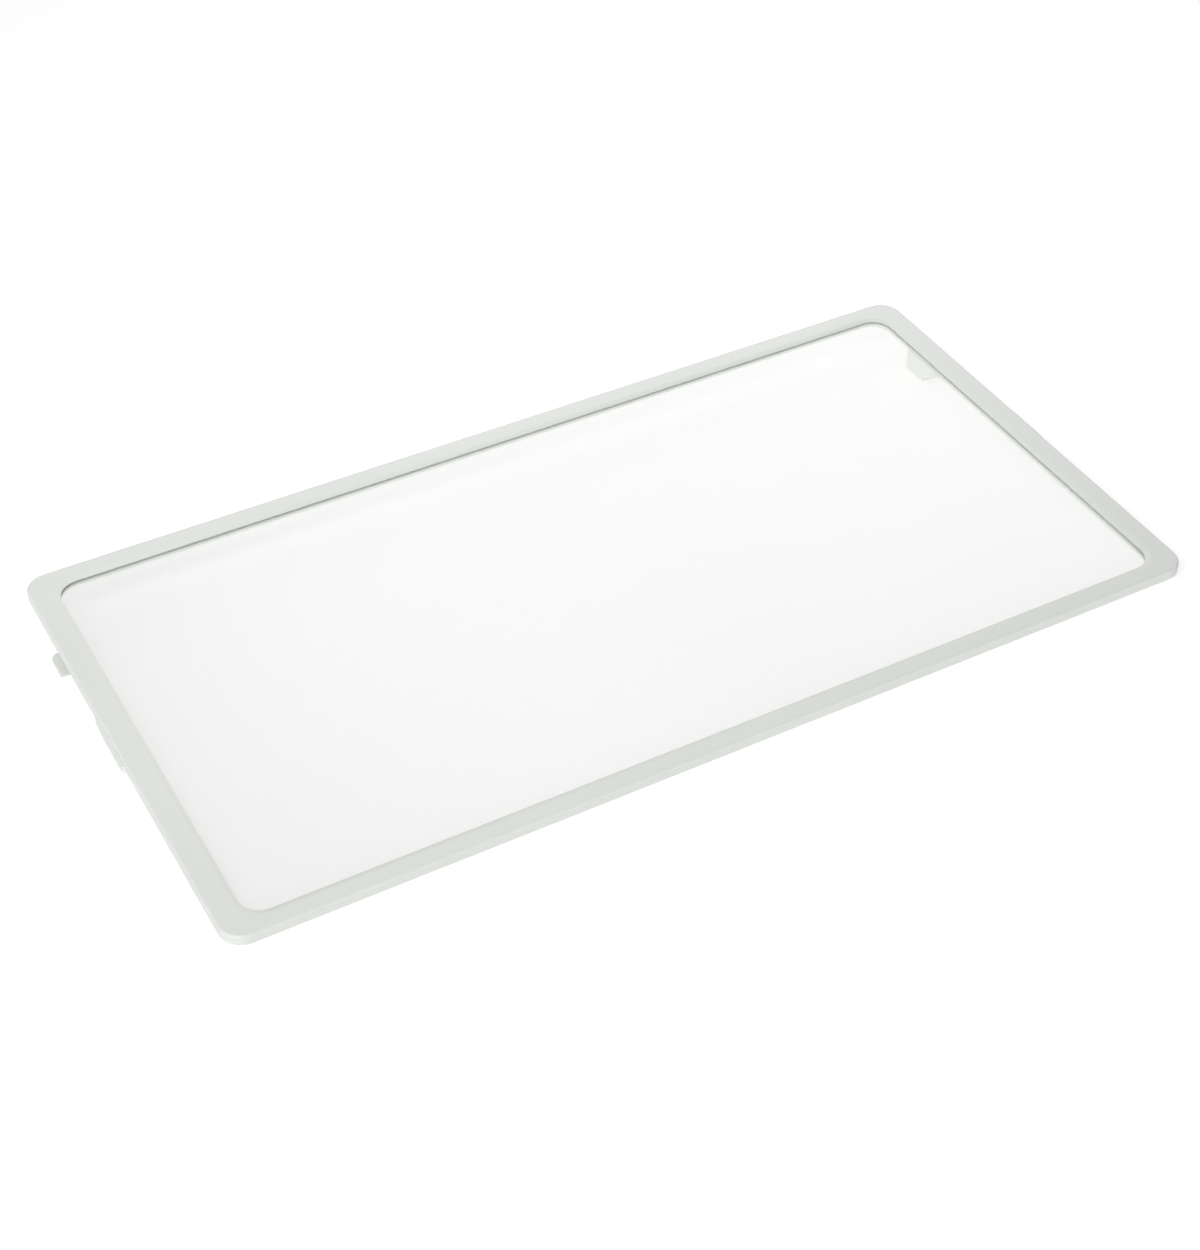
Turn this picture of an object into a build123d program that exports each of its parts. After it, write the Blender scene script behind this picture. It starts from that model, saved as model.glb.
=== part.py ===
from build123d import *

import os
from math import cos, radians

# Refrigerator shelf: a pane of tempered glass in a white plastic frame that is moulded around it.
# Millimetres. X runs left to right, Y front to back, Z up. The origin is under the middle of the
# shelf, level with the underside of the hooks that it stands on.

# Outline of the frame, over its straight outer faces
shelf_length = 650.0
shelf_depth = 336.5
corner_radius = 14.5

# Lip over the border of the glass, each width measured in from the outer face
front_lip = 13.5
back_lip = 15.2
side_lip = 16.9
opening_radius = 13.5
lip_thickness = 1.2
lip_edge = 0.3  # thickness of the lip where it ends on the glass
lip_bevel = 3.2  # width of the slope that runs down to that edge
lip_bevel_round = 8.0  # softens the ridge between the flat top and the slope

# Wall and sole of the frame
edge_wall = 3.0  # plastic outside the edge of the glass
sole_thickness = 1.5
sole_recess = 0.4  # how far the sole stops short of the edge of the lip
outer_top_round = 1.5
outer_bottom_round = 0.5

# Glass
pane_thickness = 4.0
pane_arris = 0.5  # ground edge of the glass
groove_clearance = 0.1  # between the glass and the groove, on every side

# Hook under each side near the back: a web with a foot that turns outward under the cabinet's ledge
hook_setback = 50.9  # from the back face of the frame to the back of the hook
hook_length = 19.9
hook_drop = 16.6  # underside of the sole to underside of the foot
web_thickness = 2.6
web_flare = 22.0  # how far the front edge of the web slants forward on its way up
foot_thickness = 2.4
foot_reach = 1.9  # beyond the side face of the frame
foot_corner = 6.0  # round at the outer back corner of the foot, as a lead-in
foot_break = 30.0  # degrees at which that round leaves the back edge
foot_round = 0.5  # upper edges of the foot
hook_round = 0.8  # inner corners of the hook

# Stop rib on each side face, with a nose and a long ramp at its back end and a steep front end
rib_setback = 132.0  # from the back face of the frame to the back end of the rib
rib_length = 51.5
rib_nose = 5.0
rib_nose_reach = 1.3
rib_ramp = 20.0  # from the back end to the full reach
rib_step = 1.5
rib_reach = 2.0
rib_height = 4.4
rib_round = 0.5

# Levels
sole_level = hook_drop
groove_floor = sole_level + sole_thickness
pane_floor = groove_floor + groove_clearance
groove_height = pane_thickness + 2 * groove_clearance
frame_height = sole_thickness + groove_height + lip_thickness

# Plan sizes
half_length = shelf_length / 2
half_depth = shelf_depth / 2
opening_length = shelf_length - 2 * side_lip
opening_depth = shelf_depth - front_lip - back_lip
opening_shift = (front_lip - back_lip) / 2
sole_opening_length = opening_length + 2 * sole_recess
sole_opening_depth = opening_depth + 2 * sole_recess
sole_opening_radius = opening_radius + sole_recess
groove_length = shelf_length - 2 * edge_wall
groove_depth = shelf_depth - 2 * edge_wall
groove_radius = corner_radius - edge_wall
bevel_drop = lip_thickness - lip_edge

# Places of the hook and the rib on the right side, which the left side mirrors
web_inner = sole_opening_length / 2  # flush with the inner edge of the sole
web_outer = web_inner + web_thickness
web_middle = web_inner + web_thickness / 2
web_top = sole_level + sole_thickness / 2  # inside the sole, so that web and sole are one
foot_outer = half_length + foot_reach
hook_back = half_depth - hook_setback
hook_front = hook_back - hook_length
corner_middle = (foot_outer - foot_corner, hook_back - foot_corner * cos(radians(foot_break)))
rib_back = half_depth - rib_setback
rib_front = rib_back - rib_length
rib_root = half_length - edge_wall / 2
rib_outer = half_length + rib_reach


with BuildPart() as hook:
    # L-shaped section across the hook
    with BuildSketch(Plane.XZ.offset(-hook_back)) as hook_section:
        with BuildLine():
            Polyline(
                (web_inner, 0),
                (foot_outer, 0),
                (foot_outer, foot_thickness),
                (web_outer, foot_thickness),
                (web_outer, web_top),
                (web_inner, web_top),
                close=True,
            )
        make_face()
        inner_corner = hook_section.vertices().sort_by_distance((web_outer, foot_thickness))[0]
        fillet(inner_corner, hook_round)
    extrude(amount=hook_length + web_flare)
    # Side outline: straight back edge, and a front edge that slants forward above the foot
    with BuildSketch(Plane.YZ.offset(web_inner)):
        with BuildLine():
            Polyline(
                (hook_back, 0),
                (hook_back, web_top),
                (hook_front - web_flare, web_top),
                (hook_front, foot_thickness),
                (hook_front, 0),
                close=True,
            )
        make_face()
    extrude(amount=foot_outer - web_inner, mode=Mode.INTERSECT)
    # Lead-in: the outer back corner of the foot is rounded off
    with BuildSketch():
        with Locations(corner_middle):
            Rectangle(foot_corner, foot_corner, align=Align.MIN)
            Circle(foot_corner, mode=Mode.SUBTRACT)
    extrude(amount=foot_thickness, mode=Mode.SUBTRACT)
    foot_top = hook.faces().filter_by(Plane.XY).group_by(Axis.Z)[1][0]
    free_edges = foot_top.edges().filter_by(Axis.X, reverse=True)
    fillet(free_edges.filter_by(lambda edge: edge.center().X > web_outer + 2 * hook_round), foot_round)


with BuildPart() as rib:
    with BuildSketch(Plane.XY.offset(sole_level)):
        with BuildLine():
            Polyline(
                (rib_root, rib_back),
                (half_length, rib_back),
                (half_length + rib_nose_reach, rib_back - rib_nose),
                (rib_outer, rib_back - rib_ramp),
                (rib_outer, rib_front + rib_step),
                (half_length, rib_front),
                (rib_root, rib_front),
                close=True,
            )
        make_face()
    extrude(amount=rib_height)
    fillet(rib.edges().filter_by(Axis.Z).group_by(Axis.X)[-1], rib_round)
    rib_top = rib.faces().sort_by(Axis.Z)[-1]
    fillet(rib_top.edges().filter_by(lambda edge: edge.center().X > half_length), rib_round)


with BuildPart() as shelf_frame:
    # Solid border with rounded outer edges
    with BuildSketch(Plane.XY.offset(sole_level)):
        RectangleRounded(shelf_length, shelf_depth, corner_radius)
    extrude(amount=frame_height)
    fillet(shelf_frame.faces().sort_by(Axis.Z)[-1].edges(), outer_top_round)
    fillet(shelf_frame.faces().sort_by(Axis.Z)[0].edges(), outer_bottom_round)
    # Opening, right through lip and sole, and wider in the sole
    with BuildSketch(Plane.XY.offset(sole_level)):
        with Locations((0, opening_shift)):
            RectangleRounded(opening_length, opening_depth, opening_radius)
    extrude(amount=frame_height, mode=Mode.SUBTRACT)
    with BuildSketch(Plane.XY.offset(sole_level)):
        with Locations((0, opening_shift)):
            RectangleRounded(sole_opening_length, sole_opening_depth, sole_opening_radius)
    extrude(amount=sole_thickness, mode=Mode.SUBTRACT)
    # The lip slopes down to a thin edge on the glass
    top_face = shelf_frame.faces().filter_by(Plane.XY).sort_by(Axis.Z)[-1]
    chamfer(top_face.inner_wires()[0].edges(), lip_bevel, bevel_drop, reference=top_face)
    ridge_face = shelf_frame.faces().filter_by(Plane.XY).sort_by(Axis.Z)[-1]
    fillet(ridge_face.inner_wires()[0].edges(), lip_bevel_round)
    # Groove that holds the glass
    with BuildSketch(Plane.XY.offset(groove_floor)):
        RectangleRounded(groove_length, groove_depth, groove_radius)
    extrude(amount=groove_height, mode=Mode.SUBTRACT)
    # Rib and hook, right and left
    for feature in (rib.part, hook.part):
        add(feature)
        add(feature.mirror(Plane.YZ))
    root_edges = (
        shelf_frame.edges()
        .filter_by_position(Axis.Z, sole_level, sole_level)
        .filter_by(lambda edge: web_middle - hook_round < abs(edge.center().X) < web_outer + hook_round)
    )
    fillet(root_edges, hook_round)
shelf_frame.part.label = "shelf_frame"


with BuildPart() as glass_pane:
    with BuildSketch(Plane.XY.offset(pane_floor)):
        RectangleRounded(
            groove_length - 2 * groove_clearance,
            groove_depth - 2 * groove_clearance,
            groove_radius - groove_clearance,
        )
    extrude(amount=pane_thickness)
    chamfer(glass_pane.faces().filter_by(Plane.XY).edges(), pane_arris)
glass_pane.part.label = "glass_pane"


os.makedirs("parts", exist_ok=True)
export_step(shelf_frame.part, "parts/shelf_frame.step")
export_step(glass_pane.part, "parts/glass_pane.step")
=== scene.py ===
import math

import bpy
from mathutils import Matrix, Vector


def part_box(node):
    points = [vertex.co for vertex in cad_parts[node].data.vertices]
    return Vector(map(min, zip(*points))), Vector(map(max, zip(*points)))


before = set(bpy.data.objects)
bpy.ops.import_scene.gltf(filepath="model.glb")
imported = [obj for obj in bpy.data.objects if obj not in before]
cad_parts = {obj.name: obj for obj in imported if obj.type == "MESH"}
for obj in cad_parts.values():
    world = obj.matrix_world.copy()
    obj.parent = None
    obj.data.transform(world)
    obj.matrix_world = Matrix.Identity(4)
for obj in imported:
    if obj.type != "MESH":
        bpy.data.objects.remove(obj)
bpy.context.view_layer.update()  # the shelf's frame and pane, in metres
scene = bpy.context.scene
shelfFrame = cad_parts["shelf_frame"]
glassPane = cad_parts["glass_pane"]
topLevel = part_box("shelf_frame")[1].z
print("loaded", sorted(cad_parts), "top at", round(topLevel, 4))

noiseRange = (0.3, 0.7)  # most of what a noise texture gives lies between these


def newMaterial(name):
    material = bpy.data.materials.new(name)
    material.use_nodes = True
    material.node_tree.nodes.clear()
    return material, material.node_tree.nodes, material.node_tree.links


def noiseAt(nodes, links, coords, scale, detail):
    noise = nodes.new("ShaderNodeTexNoise")
    noise.inputs["Scale"].default_value = scale
    noise.inputs["Detail"].default_value = detail
    links.new(coords, noise.inputs["Vector"])
    return noise.outputs["Fac"]


def remap(nodes, links, value, fromRange, toRange, smooth=False):
    node = nodes.new("ShaderNodeMapRange")
    node.interpolation_type = "SMOOTHSTEP" if smooth else "LINEAR"
    node.inputs["From Min"].default_value, node.inputs["From Max"].default_value = fromRange
    node.inputs["To Min"].default_value, node.inputs["To Max"].default_value = toRange
    links.new(value, node.inputs["Value"])
    return node.outputs["Result"]


def combine(nodes, links, operation, *values):
    node = nodes.new("ShaderNodeMath")
    node.operation = operation
    for value, socket in zip(values, node.inputs):
        links.new(value, socket)
    return node.outputs["Value"]


def bumpOf(nodes, links, height, distance):
    bump = nodes.new("ShaderNodeBump")
    bump.inputs["Distance"].default_value = distance
    links.new(height, bump.inputs["Height"])
    return bump


def mixShaders(nodes, links, share, first, second):
    mix = nodes.new("ShaderNodeMixShader")
    links.new(share, mix.inputs["Fac"])
    links.new(first, mix.inputs[1])
    links.new(second, mix.inputs[2])
    return mix.outputs["Shader"]


def facingUp(nodes, links):
    # 1 on a level top, 0 on an upright face, -1 on a level underside
    normal = nodes.new("ShaderNodeSeparateXYZ")
    links.new(nodes.new("ShaderNodeNewGeometry").outputs["Normal"], normal.inputs["Vector"])
    return normal.outputs["Z"]


def seenFlag(nodes, links):
    # 1 for what is seen straight, in gloss or through glass, and 0 for scattered light
    rays = nodes.new("ShaderNodeLightPath").outputs
    seen = combine(nodes, links, "MAXIMUM", rays["Is Camera Ray"], rays["Is Glossy Ray"])
    return combine(nodes, links, "MAXIMUM", seen, rays["Is Transmission Ray"])


# white plastic of the moulded frame
plastic = {
    "pale": (0.735, 0.757, 0.724, 1),
    "shade": (0.715, 0.737, 0.706, 1),
    "cloudScale": 9.0,  # broad drift of the white over the moulding, per metre
    "cloudDetail": 3.0,
    "grainScale": 2600.0,  # fine texture of the mould
    "grainDetail": 2.0,
    "grainHeight": 0.000012,
    "waveScale": 60.0,  # slight sink of the thin lip
    "waveDetail": 1.0,
    "waveHeight": 0.00004,
    "roughTop": 0.24,
    "roughUnder": 0.55,
    "roughTurn": 0.6,  # how far a face leans up or down to be all one or the other
    "roughSpread": 0.03,
    "ior": 1.57,
}


def makePlastic(look):
    material, nodes, links = newMaterial("mouldedWhite")
    coords = nodes.new("ShaderNodeTexCoord").outputs["Object"]
    shader = nodes.new("ShaderNodeBsdfPrincipled")
    shader.inputs["IOR"].default_value = look["ior"]

    cloud = noiseAt(nodes, links, coords, look["cloudScale"], look["cloudDetail"])
    tone = nodes.new("ShaderNodeMix")
    tone.data_type = "RGBA"
    tone.inputs["A"].default_value = look["shade"]
    tone.inputs["B"].default_value = look["pale"]
    links.new(remap(nodes, links, cloud, noiseRange, (0, 1)), tone.inputs["Factor"])
    links.new(tone.outputs["Result"], shader.inputs["Base Color"])

    # the top is polished in the mould, the underside is left coarser
    turn, spread = look["roughTurn"], look["roughSpread"]
    sides = (look["roughUnder"], look["roughTop"])
    finish = remap(nodes, links, facingUp(nodes, links), (-turn, turn), sides, True)
    grain = noiseAt(nodes, links, coords, look["grainScale"], look["grainDetail"])
    grainRough = remap(nodes, links, grain, noiseRange, (-spread, spread))
    links.new(combine(nodes, links, "ADD", finish, grainRough), shader.inputs["Roughness"])

    sink = noiseAt(nodes, links, coords, look["waveScale"], look["waveDetail"])
    wave = bumpOf(nodes, links, sink, look["waveHeight"])
    fine = bumpOf(nodes, links, grain, look["grainHeight"])
    links.new(wave.outputs["Normal"], fine.inputs["Normal"])
    links.new(fine.outputs["Normal"], shader.inputs["Normal"])

    output = nodes.new("ShaderNodeOutputMaterial")
    links.new(shader.outputs["BSDF"], output.inputs["Surface"])
    return material


# tempered glass of the pane
glass = {
    "tint": (0.976, 0.976, 0.965, 1),
    "ior": 1.50,
    "lampTint": (0.970, 0.972, 0.966, 1),  # what each face lets through to the floor
    "absorbs": (0.56, 0.72, 0.66, 1),  # green along a long way through the pane
    "density": 8.0,
    "groundScale": 1800.0,  # grit of the wheel that ground the edge
    "groundDetail": 2.0,
    "groundRough": (0.32, 0.48),
    "groundLean": (0.90, 0.97),  # ground below the first of these, polished above the second
    "rollerScale": 1.25,  # bands about 250 mm apart, left by the rollers of the oven
    "rollerHeight": 0.00003,
}


def makeGlass(look):
    material, nodes, links = newMaterial("clearGlass")
    shader = nodes.new("ShaderNodeBsdfPrincipled")
    shader.inputs["Base Color"].default_value = look["tint"]
    shader.inputs["IOR"].default_value = look["ior"]
    shader.inputs["Transmission Weight"].default_value = 1.0

    # both faces are smooth, and the edge and its arris are ground
    coords = nodes.new("ShaderNodeTexCoord").outputs["Object"]
    level = combine(nodes, links, "ABSOLUTE", facingUp(nodes, links))
    ground = remap(nodes, links, level, look["groundLean"], (1, 0))
    grit = noiseAt(nodes, links, coords, look["groundScale"], look["groundDetail"])
    gritRough = remap(nodes, links, grit, noiseRange, look["groundRough"])
    links.new(combine(nodes, links, "MULTIPLY", gritRough, ground), shader.inputs["Roughness"])

    # tempering leaves long, very flat waves across the pane
    roller = nodes.new("ShaderNodeTexWave")
    roller.bands_direction = "Y"
    roller.inputs["Scale"].default_value = look["rollerScale"]
    links.new(coords, roller.inputs["Vector"])
    wave = bumpOf(nodes, links, roller.outputs["Fac"], look["rollerHeight"])
    links.new(wave.outputs["Normal"], shader.inputs["Normal"])

    # light on its way to the floor and back goes straight through
    clear = nodes.new("ShaderNodeBsdfTransparent")
    clear.inputs["Color"].default_value = look["lampTint"]
    rays = nodes.new("ShaderNodeLightPath").outputs
    passing = combine(nodes, links, "MAXIMUM", rays["Is Shadow Ray"], rays["Is Diffuse Ray"])
    surface = mixShaders(nodes, links, passing, shader.outputs["BSDF"], clear.outputs["BSDF"])
    body = nodes.new("ShaderNodeVolumeAbsorption")
    body.inputs["Color"].default_value = look["absorbs"]
    body.inputs["Density"].default_value = look["density"]
    output = nodes.new("ShaderNodeOutputMaterial")
    links.new(surface, output.inputs["Surface"])
    links.new(body.outputs["Volume"], output.inputs["Volume"])
    return material


def dress(piece, material):
    piece.data.materials.clear()
    piece.data.materials.append(material)


dress(shelfFrame, makePlastic(plastic))
dress(glassPane, makeGlass(glass))
print("finishes on frame and pane")


# pale floor, laid under the front edge and the two hooks that the shelf stands on
floorLook = {
    "size": 12.0,
    "bounce": (0.90, 0.90, 0.90, 1),  # for scattered light
    "shown": 0.42,  # for the eye, together with the lift: white with a faint shadow
    "shownUnder": 0.20,  # the same, seen through the pane
    "lift": 0.693,
    "contact": 0.00005,
    "footTouch": 0.0001,  # points lower than this are the underside of a foot
    "frontReach": 0.05,  # the front edge lies more than this ahead of the feet
}


def floorSlope(look, piece):
    points = [v.co for v in piece.data.vertices]
    footFront = min(p.y for p in points if p.z < look["footTouch"])
    ahead = [p for p in points if p.y < footFront - look["frontReach"]]
    return footFront, min(p.z / (footFront - p.y) for p in ahead)


def makeFloorFinish(look):
    material, nodes, links = newMaterial("paleFloor")
    bounce = nodes.new("ShaderNodeBsdfDiffuse")
    bounce.inputs["Color"].default_value = look["bounce"]
    shown = nodes.new("ShaderNodeBsdfDiffuse")
    through = nodes.new("ShaderNodeLightPath").outputs["Is Transmission Ray"]
    share = remap(nodes, links, through, (0, 1), (look["shown"], look["shownUnder"]))
    links.new(share, shown.inputs["Color"])
    lift = nodes.new("ShaderNodeEmission")
    lift.inputs["Strength"].default_value = look["lift"]
    white = nodes.new("ShaderNodeAddShader")
    links.new(shown.outputs["BSDF"], white.inputs[0])
    links.new(lift.outputs["Emission"], white.inputs[1])
    seen = seenFlag(nodes, links)
    surface = mixShaders(nodes, links, seen, bounce.outputs["BSDF"], white.outputs["Shader"])
    output = nodes.new("ShaderNodeOutputMaterial")
    links.new(surface, output.inputs["Surface"])
    return material


def makeFloor(look, piece):
    footFront, slope = floorSlope(look, piece)
    half = look["size"] / 2
    square = ((-half, -half), (half, -half), (half, half), (-half, half))
    corners = [(x, footFront + y, -slope * y - look["contact"]) for x, y in square]
    mesh = bpy.data.meshes.new("floor")
    mesh.from_pydata(corners, [], [(0, 1, 2, 3)])
    mesh.materials.append(makeFloorFinish(look))
    floor = bpy.data.objects.new("floor", mesh)
    scene.collection.objects.link(floor)
    print("floor leans", round(math.degrees(math.atan(slope)), 2), "degrees under the shelf")


makeFloor(floorLook, shelfFrame)


# soft studio light: two wide windows behind the camera, a pale room for the glass to mirror, and two lamps
dome = {
    "wideWindow": {"azimuth": 220.0, "elevation": 15.0, "reach": 80.0, "gain": 1.58},
    "frontWindow": {"azimuth": 180.0, "elevation": 10.0, "reach": 50.0, "gain": 0.67},
    "glow": {"azimuth": 33.0, "elevation": 30.0, "reach": 25.0, "gain": 1.44},  # soft box
    "sheen": {"azimuth": 18.0, "elevation": 52.0, "reach": 16.0, "gain": 0.40},  # fainter, only mirrored
    "backdrop": 0.89,  # as pale as the far end of the floor
    "ceiling": 0.73,
    "riseRange": (0.05, 0.45),  # height on the dome over which backdrop turns to ceiling
}
lamps = {
    "highLeft": {"place": (-0.70, -0.05, 1.10), "aim": (-0.1, 0, 0), "size": 0.8, "power": 5.8},
    "backRight": {"place": (0.38, 0.76, 0.50), "aim": (0.2, 0.12, 0), "size": 0.8, "power": 2.4},
}


def patchOfLight(nodes, links, direction, look):
    azimuth, elevation = math.radians(look["azimuth"]), math.radians(look["elevation"])
    level = math.cos(elevation)
    middle = (math.sin(azimuth) * level, math.cos(azimuth) * level, math.sin(elevation))
    towards = nodes.new("ShaderNodeVectorMath")
    towards.operation = "DOT_PRODUCT"
    towards.inputs[1].default_value = middle
    links.new(direction, towards.inputs[0])
    edge = math.cos(math.radians(look["reach"]))
    return remap(nodes, links, towards.outputs["Value"], (edge, 1), (0, look["gain"]), True)


def makeDome(look):
    world = bpy.data.worlds.new("studio")
    world.use_nodes = True
    nodes, links = world.node_tree.nodes, world.node_tree.links
    nodes.clear()
    direction = nodes.new("ShaderNodeTexCoord").outputs["Generated"]
    height = nodes.new("ShaderNodeSeparateXYZ")
    links.new(direction, height.inputs["Vector"])

    wide = patchOfLight(nodes, links, direction, look["wideWindow"])
    front = patchOfLight(nodes, links, direction, look["frontWindow"])
    glow = patchOfLight(nodes, links, direction, look["glow"])
    sheen = patchOfLight(nodes, links, direction, look["sheen"])
    tones = (look["backdrop"], look["ceiling"])
    room = remap(nodes, links, height.outputs["Z"], look["riseRange"], tones, True)

    # the windows light the shelf, and the room is what glass and gloss show
    strength = nodes.new("ShaderNodeMix")
    links.new(seenFlag(nodes, links), strength.inputs["Factor"])
    links.new(combine(nodes, links, "ADD", wide, front), strength.inputs["A"])
    links.new(combine(nodes, links, "ADD", room, sheen), strength.inputs["B"])
    total = combine(nodes, links, "ADD", glow, strength.outputs["Result"])

    light = nodes.new("ShaderNodeBackground")
    light.inputs["Color"].default_value = (1, 1, 1, 1)
    links.new(total, light.inputs["Strength"])
    output = nodes.new("ShaderNodeOutputWorld")
    links.new(light.outputs["Background"], output.inputs["Surface"])
    scene.world = world


def makeLamp(name, look):
    data = bpy.data.lights.new(name, "AREA")
    data.shape = "DISK"
    data.size = look["size"]
    data.energy = look["power"]
    lamp = bpy.data.objects.new(name, data)
    scene.collection.objects.link(lamp)
    lamp.location = look["place"]
    lamp.visible_glossy = lamp.visible_transmission = False  # neither face of the pane mirrors it
    lamp.rotation_euler = (Vector(look["aim"]) - lamp.location).to_track_quat("-Z", "Y").to_euler()


makeDome(dome)
for name, look in lamps.items():
    makeLamp(name, look)
print("lit by a dome and", ", ".join(lamps))


# the photo's camera, worked out from the shelf's edges
cameraLook = {
    "place": (-0.5553, -0.9792, 0.9601),  # above the top of the frame
    "forward": (0.36530, 0.65074, -0.66565),
    "right": (0.87446, -0.48507, 0.00569),
    "focalPixels": 2362.3,
    "longSidePixels": 1250,
    "sensor": 36.0,
}


def makeCamera(look):
    data = bpy.data.cameras.new("photoCamera")
    data.sensor_width = look["sensor"]
    data.lens = look["focalPixels"] * look["sensor"] / look["longSidePixels"]
    camera = bpy.data.objects.new("photoCamera", data)
    scene.collection.objects.link(camera)
    forward = Vector(look["forward"]).normalized()
    right = Vector(look["right"]).normalized()
    up = right.cross(forward)
    camera.matrix_world = Matrix((right, up, -forward)).transposed().to_4x4()
    camera.location = Vector(look["place"]) + Vector((0, 0, topLevel))
    scene.camera = camera


makeCamera(cameraLook)
scene.view_settings.view_transform = "Standard"
print("camera set")
